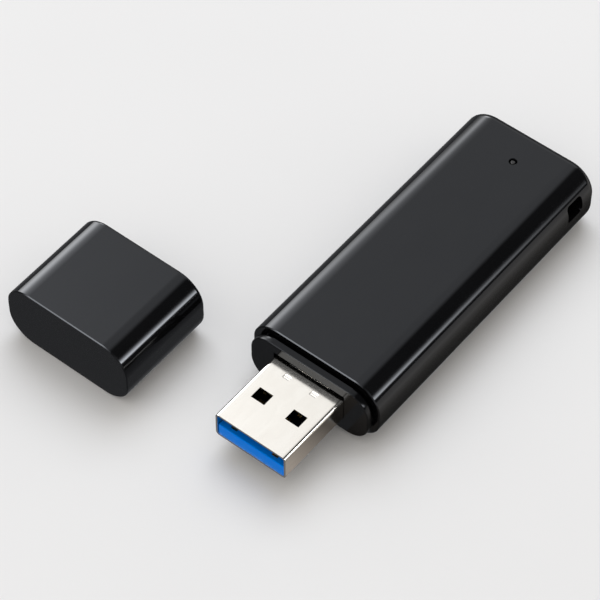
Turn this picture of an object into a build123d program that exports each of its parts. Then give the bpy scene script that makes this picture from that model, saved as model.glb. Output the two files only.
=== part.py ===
"""Capped USB 3 flash drive, built as an assembly of its separate pieces.

Frame: X across the drive, Y along it with the plug towards -Y, Z up.
Origin: centre of the case's flat underside, on the surface that the drive and its cap lie on.
Units are millimetres.
"""
from build123d import *
import os

os.makedirs("parts", exist_ok=True)

# ---------------------------------------------------------------- driving dimensions

# outer case
case_width = 21.7
case_height = 10.6
case_length = 50.4
case_corner = 4.3  # corner radius of the case's cross-section
case_wall = 1.1
rear_wall = 1.6
rear_round = 1.5  # outer edge round of the rear end
mouth_break = 0.12  # edge break where the case meets the cap

# collar of the inner frame, which the cap slips over
collar_gap = 0.6  # groove between the collar and the case
collar_thickness = 0.95
collar_break = 0.14
neck_inset = 0.9  # how far the neck lies below the collar's rim
neck_depth = 0.8  # how far the neck reaches into the case

# cap
cap_length = 16.5
cap_wall = 1.2
cap_rim_wall = 0.75  # wall left round the collar
cap_end_wall = 1.5
cap_mouth_round = 0.6
cap_end_break = 0.1
cap_clearance = 0.05
cap_lies_at_x = -30.3  # where the cap lies beside the drive
grip_rib_width = 1.0
grip_rib_spread = 7.0
grip_side_rib_width = 0.9

# inner frame and board cover
frame_clearance = 0.1
bulkhead_length = 3.0
frame_floor = 0.8
cover_roof = 0.9
cover_gap = 0.1
rail_rise = 1.3  # height of the frame's rails above the board
ledge_width = 0.8
frame_end_gap = 0.5
frame_end_wall = 0.9
hook_depth = 0.3
hook_length = 1.6
hook_height = 1.8
hook_setback = 1.2  # from the bulkhead's front to the hook
hook_clearance = 0.1

# plug, to the usual size of a type A plug
plug_width = 12.0
plug_height = 4.5
plug_sheet = 0.3
plug_bend = 0.6  # outside radius of the folded corners
plug_reach = 12.4  # from the collar's face to the tip
shell_length = 18.75
plug_clearance = 0.05
latch_hole_width = 2.3
latch_hole_length = 2.0
latch_hole_spread = 5.86
latch_hole_setback = 6.1
stake_width = 1.1
stake_length = 0.75
stake_spread = 4.6
stake_setback = 10.65
stake_depth = 0.12
stake_slit = 0.12
notch_half_width = 3.4
notch_setback = 0.0  # from the collar's face to the notch's edge
notch_length = 1.5
lip_drop = 1.0
lip_bend = 0.35
slit_width = 0.14
slit_reach = 0.35
tab_slit_x = -4.75
seam_width = 0.06
leg_length = 2.2  # solder legs at the back of the shell
leg_height = 1.8
window_rise = 0.6  # opening of the collar above the plug
window_depth = 0.7

# tongue, spacer and contacts
tongue_height = 1.85
tongue_clearance = 0.05
tongue_setback = 0.15
tongue_edge = 0.12
mouth_depth = 9.8  # from the tip to the spacer's front
back_setback = 0.2  # from the tongue's back to the shell's back
contact_sheet = 0.15
contact_proud = 0.03
pad_width = 1.0
pad_spread = 7.0
data_pad_spread = 2.0
power_pad_setback = 0.75
data_pad_setback = 2.0
pad_end_setback = 6.9
pad_drop_run = 0.7
signal_width = 0.6
signal_pitch = 2.0
signal_start = 7.9
signal_crest = 8.7
signal_foot = 9.5
signal_rise = 0.45
signal_bend = 0.2
tail_length = 1.8

# circuit board and what it carries
board_width = 15.6
board_thickness = 0.8
board_clearance = 0.1
board_front_gap = 0.15
leg_slot_clearance = 0.1
memory_width = 12.0
memory_length = 18.0
memory_thickness = 1.0
memory_place = 22.5  # from the case's mouth
controller_size = 7.0
controller_thickness = 0.85
controller_corner = 0.3
controller_place = 15.5
crystal_width = 3.2
crystal_length = 2.5
crystal_thickness = 0.7
crystal_corner = 0.3
crystal_place = 23.0
regulator_width = 2.9
regulator_length = 1.6
regulator_thickness = 1.1
regulator_place = 27.5
chip_cap_length = 1.6
chip_cap_width = 0.8
chip_cap_thickness = 0.8
resistor_length = 1.0
resistor_width = 0.5
resistor_thickness = 0.35
led_length = 1.6
led_width = 0.8
led_thickness = 0.6

# activity light
light_x = 0.3
light_setback = 6.0  # from the rear face
light_hole_radius = 0.42
light_sink_radius = 0.63
light_sink_depth = 0.35
light_pipe_radius = 0.4
light_pipe_recess = 0.12
light_pipe_gap = 0.15

# strap slot, from the right side round the corner post to the rear
slot_length = 3.4
slot_height = 3.0
slot_round = 0.6
slot_setback = 3.4  # from the rear face to the slot
slot_drop = 3.7  # from the case's top to the slot's middle
slot_depth = 4.6
slot_exit_width = 2.5
slot_exit_inset = 0.2  # the exit is this much smaller than the slot on each side
slot_wall = 1.2

overrun = 1.0  # how far a cut runs past the face that it opens

# ---------------------------------------------------------------- derived places

mid_z = case_height / 2
front = -case_length / 2
rear = case_length / 2
half_width = case_width / 2

cavity_width = case_width - 2 * case_wall
cavity_height = case_height - 2 * case_wall
cavity_corner = case_corner - case_wall
cavity_end = rear - rear_wall

collar_inset = cap_rim_wall + cap_clearance
collar_width = case_width - 2 * collar_inset
collar_height = case_height - 2 * collar_inset
collar_corner = case_corner - collar_inset
collar_back = front - collar_gap
collar_face = collar_back - collar_thickness

neck_width = collar_width - 2 * neck_inset
neck_height = collar_height - 2 * neck_inset
neck_corner = collar_corner - neck_inset
bulkhead_start = front + neck_depth
bulkhead_end = bulkhead_start + bulkhead_length

plug_tip = collar_face - plug_reach
plug_back = plug_tip + shell_length
plug_top = mid_z + plug_height / 2
plug_bottom = mid_z - plug_height / 2
shell_inner_width = plug_width - 2 * plug_sheet
shell_inner_height = plug_height - 2 * plug_sheet
notch_edge = collar_face + notch_setback

tongue_bottom = plug_bottom + plug_sheet
tongue_top = tongue_bottom + tongue_height
tongue_width = shell_inner_width - 2 * tongue_clearance
tongue_back = plug_back - back_setback
spacer_front = plug_tip + mouth_depth

board_top = tongue_top + contact_proud - contact_sheet
board_bottom = board_top - board_thickness
board_front = plug_back + board_front_gap
leg_room = plug_width / 2 + leg_slot_clearance
leg_end = plug_back + leg_length + leg_slot_clearance

frame_width = cavity_width - 2 * frame_clearance
frame_height = cavity_height - 2 * frame_clearance
frame_corner = cavity_corner - frame_clearance
frame_bottom = mid_z - frame_height / 2
frame_top = mid_z + frame_height / 2
frame_back = cavity_end - frame_end_gap
board_back = frame_back - frame_end_wall - board_clearance
floor_top = frame_bottom + frame_floor
roof_bottom = frame_top - cover_roof
split_z = board_top + rail_rise
pocket_width = board_width + 2 * board_clearance
lower_pocket_width = board_width - 2 * ledge_width

slot_mid_z = case_height - slot_drop
slot_back = rear - slot_setback
slot_front = slot_back - slot_length
slot_inner_x = half_width - slot_depth
block_x = slot_inner_x - slot_wall
block_y = slot_front - slot_wall

light_place = case_length - light_setback
light_y = front + light_place
led_top = board_top + led_thickness


# ---------------------------------------------------------------- helpers


def across(y: float, z: float = mid_z) -> Plane:
    """Plane across the drive: local X is +X, local Y is +Z, and it looks towards the plug."""
    return Plane(origin=(0, y, z), x_dir=(1, 0, 0), z_dir=(0, -1, 0))


def box_between(x_span: tuple, y_span: tuple, z_span: tuple, mode: Mode = Mode.ADD) -> None:
    """Box from its lowest to its highest corner, for the part that is being built."""
    middle = [(low + high) / 2 for low, high in (x_span, y_span, z_span)]
    size = [high - low for low, high in (x_span, y_span, z_span)]
    with Locations(tuple(middle)):
        Box(*size, mode=mode)


def save(builder: BuildPart, name: str) -> None:
    """Label a finished piece and write its STEP file."""
    builder.part.label = name
    export_step(builder.part, f"parts/{name}.step")


# ---------------------------------------------------------------- outer case

with BuildPart() as outer_case:
    with BuildSketch(across(rear)):
        RectangleRounded(case_width, case_height, case_corner)
    extrude(amount=case_length)
    fillet(outer_case.faces().sort_by(Axis.Y)[-1].edges(), radius=rear_round)
    fillet(outer_case.faces().sort_by(Axis.Y)[0].edges(), radius=mouth_break)
    # hollow for the frame, full width up to the block that holds the strap slot
    with BuildSketch(across(block_y)):
        RectangleRounded(cavity_width, cavity_height, cavity_corner)
    extrude(amount=block_y - front, mode=Mode.SUBTRACT)
    with BuildSketch(across(cavity_end)):
        RectangleRounded(cavity_width, cavity_height, cavity_corner)
        with Locations(((block_x - half_width) / 2, 0)):
            Rectangle(block_x + half_width, case_height, mode=Mode.INTERSECT)
    extrude(amount=cavity_end - block_y, mode=Mode.SUBTRACT)
    # strap slot: in at the right side, out at the rear
    with BuildSketch(Plane.YZ.offset(slot_inner_x)):
        with Locations(((slot_front + slot_back) / 2, slot_mid_z)):
            RectangleRounded(slot_length, slot_height, slot_round)
    extrude(amount=slot_depth + overrun, mode=Mode.SUBTRACT)
    with BuildSketch(across(rear + overrun, slot_mid_z)):
        with Locations((slot_inner_x + slot_exit_inset + slot_exit_width / 2, 0)):
            RectangleRounded(slot_exit_width, slot_height - 2 * slot_exit_inset, slot_round)
    extrude(amount=rear + overrun - slot_front - slot_exit_inset, mode=Mode.SUBTRACT)
    # stepped hole of the activity light
    with Locations((light_x, light_y, case_height)):
        CounterBoreHole(radius=light_hole_radius, counter_bore_radius=light_sink_radius,
                        counter_bore_depth=light_sink_depth, depth=2 * case_wall)
    # recesses that the frame's hooks snap into
    hook_start = bulkhead_start + hook_setback - hook_clearance
    hook_end = hook_start + hook_length + 2 * hook_clearance
    hook_reach = cavity_width / 2 + hook_depth
    hook_half = hook_height / 2 + hook_clearance
    for inner_x, outer_x in ((cavity_width / 2 - overrun, hook_reach), (-hook_reach, overrun - cavity_width / 2)):
        box_between((inner_x, outer_x), (hook_start, hook_end), (mid_z - hook_half, mid_z + hook_half),
                    mode=Mode.SUBTRACT)
save(outer_case, "outer_case")

# ---------------------------------------------------------------- inner frame

with BuildPart() as inner_frame:
    with BuildSketch(across(collar_back)):
        RectangleRounded(collar_width, collar_height, collar_corner)
    extrude(amount=collar_thickness)
    fillet(inner_frame.faces().sort_by(Axis.Y)[0].edges(), radius=collar_break)
    with BuildSketch(across(bulkhead_start)):
        RectangleRounded(neck_width, neck_height, neck_corner)
    extrude(amount=bulkhead_start - collar_back)
    with BuildSketch(across(frame_back)):
        RectangleRounded(frame_width, frame_height, frame_corner)
    extrude(amount=frame_back - bulkhead_start)
    # the tray behind the bulkhead: open above the rails, with ledges under the board's edges
    tray_span = (bulkhead_end, frame_back - frame_end_wall)
    box_between((-half_width, half_width), (bulkhead_end, frame_back + overrun), (split_z, case_height),
                mode=Mode.SUBTRACT)
    box_between((-pocket_width / 2, pocket_width / 2), tray_span, (board_bottom, case_height), mode=Mode.SUBTRACT)
    box_between((-lower_pocket_width / 2, lower_pocket_width / 2), tray_span, (floor_top, case_height),
                mode=Mode.SUBTRACT)
    # room for the solder legs of the plug's shell
    box_between((-leg_room, leg_room), (bulkhead_end, leg_end), (floor_top, split_z), mode=Mode.SUBTRACT)
    # corner left free for the strap block of the case
    box_between((block_x - frame_clearance, half_width), (block_y - frame_clearance, frame_back + overrun),
                (0, case_height), mode=Mode.SUBTRACT)
    # passage of the plug, with a wider window above it at the collar's face
    with BuildSketch(across(bulkhead_end)):
        RectangleRounded(plug_width + 2 * plug_clearance, plug_height + 2 * plug_clearance,
                         plug_bend + plug_clearance)
    extrude(amount=bulkhead_end - collar_face, mode=Mode.SUBTRACT)
    window_half = plug_width / 2 + plug_clearance
    box_between((-window_half, window_half), (collar_face, collar_face + window_depth),
                (mid_z, plug_top + window_rise), mode=Mode.SUBTRACT)
    # hooks at both sides of the bulkhead
    hook_y = bulkhead_start + hook_setback
    hook_tip = frame_width / 2 + hook_depth
    for inner_x, outer_x in ((frame_width / 2 - overrun, hook_tip), (-hook_tip, overrun - frame_width / 2)):
        box_between((inner_x, outer_x), (hook_y, hook_y + hook_length),
                    (mid_z - hook_height / 2, mid_z + hook_height / 2))
save(inner_frame, "inner_frame")

# ---------------------------------------------------------------- board cover

with BuildPart() as board_cover:
    with BuildSketch(across(frame_back)):
        RectangleRounded(frame_width, frame_height, frame_corner)
    extrude(amount=frame_back - bulkhead_end - cover_gap)
    box_between((-half_width, half_width), (front, rear), (0, split_z), mode=Mode.SUBTRACT)
    box_between((-pocket_width / 2, pocket_width / 2), (bulkhead_end, frame_back - frame_end_wall),
                (0, roof_bottom), mode=Mode.SUBTRACT)
    # legs that hold the board down on its ledges
    for leg_side in (-1, 1):
        leg_x = sorted((leg_side * (board_width / 2 - ledge_width), leg_side * board_width / 2))
        box_between(leg_x, (leg_end, block_y - slot_wall), (board_top, frame_top - cover_roof / 2))
    box_between((block_x - frame_clearance, half_width), (block_y - frame_clearance, frame_back + overrun),
                (0, case_height), mode=Mode.SUBTRACT)
    with Locations((light_x, light_y, frame_top)):
        Hole(radius=light_hole_radius, depth=2 * cover_roof)
save(board_cover, "board_cover")

# ---------------------------------------------------------------- contacts

lead_z = board_top + contact_sheet / 2
low_lead_z = board_bottom - contact_sheet / 2
pad_z = tongue_top + contact_proud - contact_sheet / 2
tail_end = plug_back + tail_length

# the four flat pads near the tip, whose tails lie under the board
pad_names = ("contact_power", "contact_data_minus", "contact_data_plus", "contact_ground")
pad_places = (pad_spread / 2, data_pad_spread / 2, -data_pad_spread / 2, -pad_spread / 2)
pad_setbacks = (power_pad_setback, data_pad_setback, data_pad_setback, power_pad_setback)
pad_contacts = []
for pad_name, pad_x, pad_setback in zip(pad_names, pad_places, pad_setbacks):
    with BuildPart() as pad_contact:
        with BuildSketch(Plane.YZ.offset(pad_x)):
            with BuildLine():
                Polyline(
                    (plug_tip + pad_setback, pad_z),
                    (plug_tip + pad_end_setback, pad_z),
                    (plug_tip + pad_end_setback + pad_drop_run, low_lead_z),
                    (tail_end, low_lead_z),
                )
            trace(line_width=contact_sheet)
        extrude(amount=pad_width / 2, both=True)
    save(pad_contact, pad_name)
    pad_contacts.append(pad_contact.part)

# the five sprung contacts behind them, whose tails lie on the board
signal_names = ("signal_receive_minus", "signal_receive_plus", "signal_drain",
                "signal_transmit_minus", "signal_transmit_plus")
signal_contacts = []
for signal_index, signal_name in enumerate(signal_names):
    with BuildPart() as signal_contact:
        with BuildSketch(Plane.YZ.offset((signal_index - 2) * signal_pitch)):
            with BuildLine():
                FilletPolyline(
                    (plug_tip + signal_start, lead_z),
                    (plug_tip + signal_crest, lead_z + signal_rise),
                    (plug_tip + signal_foot, lead_z),
                    (tail_end, lead_z),
                    radius=signal_bend,
                )
            trace(line_width=contact_sheet)
        extrude(amount=signal_width / 2, both=True)
    save(signal_contact, signal_name)
    signal_contacts.append(signal_contact.part)

# ---------------------------------------------------------------- tongue and spacer

with BuildPart() as contact_tongue:
    box_between((-tongue_width / 2, tongue_width / 2), (plug_tip + tongue_setback, tongue_back),
                (tongue_bottom, tongue_top))
    lower_edges = contact_tongue.edges().filter_by(Axis.Y).group_by(Axis.Z)[0]
    fillet(lower_edges, radius=plug_bend - plug_sheet)
    chamfer(contact_tongue.faces().sort_by(Axis.Y)[0].edges().filter_by(Axis.X).sort_by(Axis.Z)[-1],
            length=tongue_edge)
    for contact in pad_contacts + signal_contacts:
        add(contact, mode=Mode.SUBTRACT)
save(contact_tongue, "contact_tongue")

with BuildPart() as contact_spacer:
    box_between((-tongue_width / 2, tongue_width / 2), (spacer_front, tongue_back),
                (tongue_top + contact_proud, plug_top - plug_sheet - tongue_clearance))
    upper_edges = contact_spacer.edges().filter_by(Axis.Y).group_by(Axis.Z)[-1]
    fillet(upper_edges, radius=plug_bend - plug_sheet)
    lip_half_width = notch_half_width + slit_width
    box_between((-lip_half_width, lip_half_width), (notch_edge - slit_reach, notch_edge + lip_bend + plug_sheet),
                (plug_top - lip_drop - plug_sheet, plug_top), mode=Mode.SUBTRACT)
save(contact_spacer, "contact_spacer")

# ---------------------------------------------------------------- plug shell

with BuildPart() as plug_shell:
    with BuildSketch(across(plug_back)):
        RectangleRounded(plug_width, plug_height, plug_bend)
        RectangleRounded(shell_inner_width, shell_inner_height, plug_bend - plug_sheet, mode=Mode.SUBTRACT)
    extrude(amount=shell_length)
    # latch holes through the top and the bottom sheet
    for hole_side in (-1, 1):
        hole_x = hole_side * latch_hole_spread / 2
        box_between((hole_x - latch_hole_width / 2, hole_x + latch_hole_width / 2),
                    (plug_tip + latch_hole_setback - latch_hole_length / 2,
                     plug_tip + latch_hole_setback + latch_hole_length / 2),
                    (plug_bottom - overrun, plug_top + overrun), mode=Mode.SUBTRACT)
        # pressed stakes: a shallow dent that is sheared through along its front
        stake_x = hole_side * stake_spread / 2
        stake_span = (stake_x - stake_width / 2, stake_x + stake_width / 2)
        stake_y = plug_tip + stake_setback - stake_length / 2
        box_between(stake_span, (stake_y, stake_y + stake_length), (plug_top - stake_depth, plug_top + overrun),
                    mode=Mode.SUBTRACT)
        box_between(stake_span, (stake_y, stake_y + stake_slit), (plug_top - 2 * plug_sheet, plug_top + overrun),
                    mode=Mode.SUBTRACT)
        # slits at both ends of the bent lip
        slit_x = sorted((hole_side * notch_half_width, hole_side * (notch_half_width + slit_width)))
        box_between(slit_x, (notch_edge - slit_reach, notch_edge + notch_length),
                    (plug_top - 2 * plug_sheet, plug_top + overrun), mode=Mode.SUBTRACT)
        # solder legs
        shell_side = sorted((hole_side * (plug_width / 2 - plug_sheet), hole_side * plug_width / 2))
        box_between(shell_side, (plug_back, plug_back + leg_length),
                    (mid_z - leg_height / 2, mid_z + leg_height / 2))
    # notch at the back of the top sheet, whose edge is bent down as a lip
    box_between((-notch_half_width, notch_half_width), (notch_edge, notch_edge + notch_length),
                (plug_top - 2 * plug_sheet, plug_top + overrun), mode=Mode.SUBTRACT)
    box_between((tab_slit_x - slit_width, tab_slit_x), (notch_edge, notch_edge + notch_length),
                (plug_top - 2 * plug_sheet, plug_top + overrun), mode=Mode.SUBTRACT)
    # closing seam of the folded sheet
    box_between((-seam_width / 2, seam_width / 2), (plug_tip - overrun, plug_back + overrun),
                (plug_bottom - overrun, plug_bottom + 2 * plug_sheet), mode=Mode.SUBTRACT)
    lip_z = plug_top - plug_sheet / 2
    with BuildSketch(Plane.YZ):
        with BuildLine():
            FilletPolyline(
                (notch_edge, lip_z),
                (notch_edge + lip_bend, lip_z),
                (notch_edge + lip_bend, lip_z - lip_drop),
                radius=lip_bend - plug_sheet / 4,
            )
        trace(line_width=plug_sheet)
    extrude(amount=notch_half_width, both=True)
save(plug_shell, "plug_shell")

# ---------------------------------------------------------------- circuit board

with BuildPart() as circuit_board:
    box_between((-board_width / 2, board_width / 2), (board_front, board_back), (board_bottom, board_top))
    box_between((block_x - 2 * frame_clearance, half_width), (block_y - 2 * frame_clearance, rear),
                (0, case_height), mode=Mode.SUBTRACT)
    for slot_side in (-1, 1):
        slot_mid_x = slot_side * (plug_width - plug_sheet) / 2
        slot_half = plug_sheet / 2 + leg_slot_clearance
        box_between((slot_mid_x - slot_half, slot_mid_x + slot_half),
                    (board_front - overrun, leg_end), (0, case_height),
                    mode=Mode.SUBTRACT)
save(circuit_board, "circuit_board")


def chip_on_board(x: float, place: float, width: float, length: float, thickness: float,
                  below: bool = False) -> None:
    """Block of a component soldered on the board, measured from the case's mouth."""
    y = front + place
    heights = (board_bottom - thickness, board_bottom) if below else (board_top, board_top + thickness)
    box_between((x - width / 2, x + width / 2), (y - length / 2, y + length / 2), heights)


with BuildPart() as controller_chip:
    chip_on_board(0, controller_place, controller_size, controller_size, controller_thickness)
    chamfer(controller_chip.edges().filter_by(Axis.Z), length=controller_corner)
save(controller_chip, "controller_chip")

with BuildPart() as memory_chip:
    chip_on_board(0, memory_place, memory_width, memory_length, memory_thickness, below=True)
save(memory_chip, "memory_chip")

with BuildPart() as crystal:
    chip_on_board(0, crystal_place, crystal_width, crystal_length, crystal_thickness)
    fillet(crystal.edges().filter_by(Axis.Z), radius=crystal_corner)
save(crystal, "crystal")

with BuildPart() as regulator:
    chip_on_board(0, regulator_place, regulator_width, regulator_length, regulator_thickness)
save(regulator, "regulator")

with BuildPart() as indicator_led:
    chip_on_board(light_x, light_place, led_width, led_length, led_thickness)
save(indicator_led, "indicator_led")

capacitor_places = ((-5.2, 13.5), (-5.2, 17.5), (5.2, 13.5), (5.2, 17.5), (-3.6, 27.5), (3.6, 27.5))
with BuildPart() as capacitors:
    for chip_x, chip_place in capacitor_places:
        chip_on_board(chip_x, chip_place, chip_cap_width, chip_cap_length, chip_cap_thickness)
save(capacitors, "capacitors")

resistor_places = ((-3.6, 22.0), (-3.6, 24.0), (3.6, 22.0), (3.6, 24.0), (-1.8, light_place))
with BuildPart() as resistors:
    for chip_x, chip_place in resistor_places:
        chip_on_board(chip_x, chip_place, resistor_width, resistor_length, resistor_thickness)
save(resistors, "resistors")

# ---------------------------------------------------------------- light pipe

with BuildPart() as light_pipe:
    light_pipe_bottom = led_top + light_pipe_gap
    with BuildSketch(Plane.XY.offset(light_pipe_bottom)):
        with Locations((light_x, light_y)):
            Circle(light_pipe_radius)
    extrude(amount=case_height - light_pipe_recess - light_pipe_bottom)
    fillet(light_pipe.edges().sort_by(Axis.Z)[-1], radius=light_pipe_radius / 2)
save(light_pipe, "light_pipe")

# ---------------------------------------------------------------- cap

cap_mouth = front
cap_end = cap_mouth - cap_length
cap_inside_end = cap_end + cap_end_wall
rim_depth = collar_gap + collar_thickness + cap_clearance

with BuildPart() as cap:
    with BuildSketch(across(cap_mouth)):
        with Locations((cap_lies_at_x, 0)):
            RectangleRounded(case_width, case_height, case_corner)
    extrude(amount=cap_length)
    fillet(cap.faces().sort_by(Axis.Y)[-1].edges(), radius=cap_mouth_round)
    fillet(cap.faces().sort_by(Axis.Y)[0].edges(), radius=cap_end_break)
    # hollow, and the wider mouth that slips over the collar
    with BuildSketch(across(cap_mouth)):
        with Locations((cap_lies_at_x, 0)):
            RectangleRounded(case_width - 2 * cap_wall, case_height - 2 * cap_wall, case_corner - cap_wall)
    extrude(amount=cap_mouth - cap_inside_end, mode=Mode.SUBTRACT)
    with BuildSketch(across(cap_mouth)):
        with Locations((cap_lies_at_x, 0)):
            RectangleRounded(case_width - 2 * cap_rim_wall, case_height - 2 * cap_rim_wall,
                             case_corner - cap_rim_wall)
    extrude(amount=rim_depth, mode=Mode.SUBTRACT)
    # ribs that grip the plug's shell
    rib_span = (cap_inside_end, cap_mouth - rim_depth)
    grip_z = plug_height / 2 + cap_clearance
    grip_x = plug_width / 2 + cap_clearance
    for rib_side in (-1, 1):
        side_rib_x = sorted((cap_lies_at_x + rib_side * grip_x, cap_lies_at_x + rib_side * (half_width - cap_wall / 2)))
        box_between(side_rib_x, rib_span, (mid_z - grip_side_rib_width / 2, mid_z + grip_side_rib_width / 2))
        rib_z = sorted((mid_z + rib_side * grip_z, mid_z + rib_side * (mid_z - cap_wall / 2)))
        for rib_place in (-grip_rib_spread / 2, grip_rib_spread / 2):
            rib_x = cap_lies_at_x + rib_place
            box_between((rib_x - grip_rib_width / 2, rib_x + grip_rib_width / 2), rib_span, rib_z)
save(cap, "cap")
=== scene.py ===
"""Looks of a capped USB 3 flash drive lying beside its cap on a pale studio floor.

Every mesh is built in millimetres in the part's own frame and scaled to metres once, when it is
finished: X runs across the drive, Y along it with the plug towards -Y, and Z up from the floor.
"""

import logging
import math
from collections.abc import Iterable
from dataclasses import dataclass
from enum import Enum

import bmesh
import bpy
from mathutils import Matrix, Vector

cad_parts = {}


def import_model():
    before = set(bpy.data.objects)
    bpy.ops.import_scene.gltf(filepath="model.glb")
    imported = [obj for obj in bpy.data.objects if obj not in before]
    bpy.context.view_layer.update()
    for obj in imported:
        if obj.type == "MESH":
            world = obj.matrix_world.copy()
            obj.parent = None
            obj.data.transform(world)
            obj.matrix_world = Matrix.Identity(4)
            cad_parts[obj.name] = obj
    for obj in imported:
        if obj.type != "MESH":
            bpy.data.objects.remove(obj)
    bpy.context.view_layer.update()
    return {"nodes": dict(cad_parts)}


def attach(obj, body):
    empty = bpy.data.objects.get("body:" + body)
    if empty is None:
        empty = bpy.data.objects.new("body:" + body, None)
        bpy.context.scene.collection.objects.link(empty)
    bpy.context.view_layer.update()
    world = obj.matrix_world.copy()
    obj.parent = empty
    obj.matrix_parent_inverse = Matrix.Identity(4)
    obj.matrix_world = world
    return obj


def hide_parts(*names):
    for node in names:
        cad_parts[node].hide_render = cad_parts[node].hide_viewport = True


log = logging.getLogger("flash_drive")

MM = 0.001

# sizes that several pieces share, in millimetres
CASE_WIDTH, CASE_HEIGHT, CASE_CORNER = 21.7, 10.6, 4.3
CASE_LENGTH = 50.4
GROOVE_WIDTH = 0.6
COLLAR_THICKNESS = 0.95
PLUG_REACH = 12.4
MID_Z = CASE_HEIGHT / 2
FRONT, REAR = -CASE_LENGTH / 2, CASE_LENGTH / 2
COLLAR_FACE = FRONT - GROOVE_WIDTH - COLLAR_THICKNESS
PLUG_TIP = COLLAR_FACE - PLUG_REACH
CAP_X = -30.3

# how far a cutting tool reaches past the face that it opens, in millimetres
OVERRUN = 1.0

# fineness of the meshes
CORNER_STEPS = 24
TOOL_CORNER_STEPS = 20
BOX_CORNER_STEPS = 8
TURNED_STEPS = 64
BREAK_STEPS = 2
FACE_WEIGHT = 80

# distances below which two places count as one: in a plane, round an axis, and in a CAD mesh in metres
PLANE_TOLERANCE = 1e-4
AXIS_TOLERANCE = 1e-5
CAD_TOLERANCE = 1e-7

# degrees: faces of a CAD mesh that turn less are one flat face, and edges that turn less are shaded smooth
FLAT_ANGLE = 0.4
SMOOTH_BELOW = 32.0


class Body(Enum):
    """The two things that move as one."""

    DRIVE = "drive"
    CAP = "cap"


# ------------------------------------------------------------------ mesh building


@dataclass(frozen=True)
class Section:
    """Rounded rectangle across the drive.

    Args:
        width: size along X.
        height: size along Z.
        corner: corner radius.
        x: middle along X.
        z: middle along Z.
    """

    width: float
    height: float
    corner: float
    x: float = 0.0
    z: float = MID_Z

    def inset(self, amount: float) -> "Section":
        """Returns the section moved inwards by an even amount."""
        corner = max(self.corner - amount, 0.0)
        return Section(self.width - 2 * amount, self.height - 2 * amount, corner, self.x, self.z)


def link_mesh(name: str, bm: bmesh.types.BMesh) -> bpy.types.Object:
    """Turns a bmesh into a linked object.

    Args:
        name: name of the object and of its mesh.
        bm: the finished bmesh, which is freed.

    Returns:
        The new object, at the origin.
    """
    bmesh.ops.recalc_face_normals(bm, faces=bm.faces)
    mesh = bpy.data.meshes.new(name)
    bm.to_mesh(mesh)
    bm.free()
    piece = bpy.data.objects.new(name, mesh)
    bpy.context.scene.collection.objects.link(piece)
    return piece


def end_edges(bm: bmesh.types.BMesh, axis: int, place: float) -> list[bmesh.types.BMEdge]:
    """Returns the edges that lie wholly in the plane across an axis at a place."""
    return [e for e in bm.edges if all(abs(v.co[axis] - place) < PLANE_TOLERANCE for v in e.verts)]


def prism(section: Section, start: float, stop: float, steps: int = TOOL_CORNER_STEPS,
          start_break: float = 0.0, stop_round: float = 0.0, round_steps: int = 4,
          name: str = "tool") -> bpy.types.Object:
    """Builds a closed prism along Y.

    Args:
        section: its cross-section.
        start: lowest Y.
        stop: highest Y.
        steps: segments of each corner.
        start_break: chamfer of the edge at the lowest Y.
        stop_round: round of the edge at the highest Y.
        round_steps: segments of that round.
        name: name of the object.

    Returns:
        The prism as an object, in millimetres.
    """
    bm = bmesh.new()
    bmesh.ops.create_grid(bm, x_segments=1, y_segments=1, size=0.5)
    bmesh.ops.scale(bm, vec=(section.width, section.height, 1), verts=bm.verts)
    if section.corner > 0:
        bmesh.ops.bevel(bm, geom=bm.verts[:], offset=section.corner, segments=steps, profile=0.5,
                        affect="VERTICES", material=-1)
    upright = Matrix.Rotation(math.pi / 2, 3, "X")
    bmesh.ops.rotate(bm, verts=bm.verts, cent=(0, 0, 0), matrix=upright)
    bmesh.ops.translate(bm, verts=bm.verts, vec=(section.x, start, section.z))
    grown = bmesh.ops.extrude_face_region(bm, geom=bm.faces[:])
    moved = [v for v in grown["geom"] if isinstance(v, bmesh.types.BMVert)]
    bmesh.ops.translate(bm, verts=moved, vec=(0, stop - start, 0))
    for place, width, segments in ((start, start_break, 1), (stop, stop_round, round_steps)):
        if width > 0:
            bmesh.ops.bevel(bm, geom=end_edges(bm, 1, place), offset=width, segments=segments,
                            profile=0.5, affect="EDGES", material=-1)
    return link_mesh(name, bm)


def block(x_span: tuple[float, float], y_span: tuple[float, float], z_span: tuple[float, float],
          corner: float = 0.0, along: int = 0, name: str = "tool") -> bpy.types.Object:
    """Builds a closed box from its spans.

    Args:
        x_span: lowest and highest X.
        y_span: lowest and highest Y.
        z_span: lowest and highest Z.
        corner: round of the edges that run along one axis.
        along: that axis.
        name: name of the object.

    Returns:
        The box as an object, in millimetres.
    """
    spans = (x_span, y_span, z_span)
    bm = bmesh.new()
    bmesh.ops.create_cube(bm, size=1)
    bmesh.ops.scale(bm, vec=[high - low for low, high in spans], verts=bm.verts)
    bmesh.ops.translate(bm, vec=[(low + high) / 2 for low, high in spans], verts=bm.verts)
    if corner > 0:
        rounded = [e for e in bm.edges
                   if abs((e.verts[0].co - e.verts[1].co)[along]) > PLANE_TOLERANCE]
        bmesh.ops.bevel(bm, geom=rounded, offset=corner, segments=BOX_CORNER_STEPS, profile=0.5,
                        affect="EDGES", material=-1)
    return link_mesh(name, bm)


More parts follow.
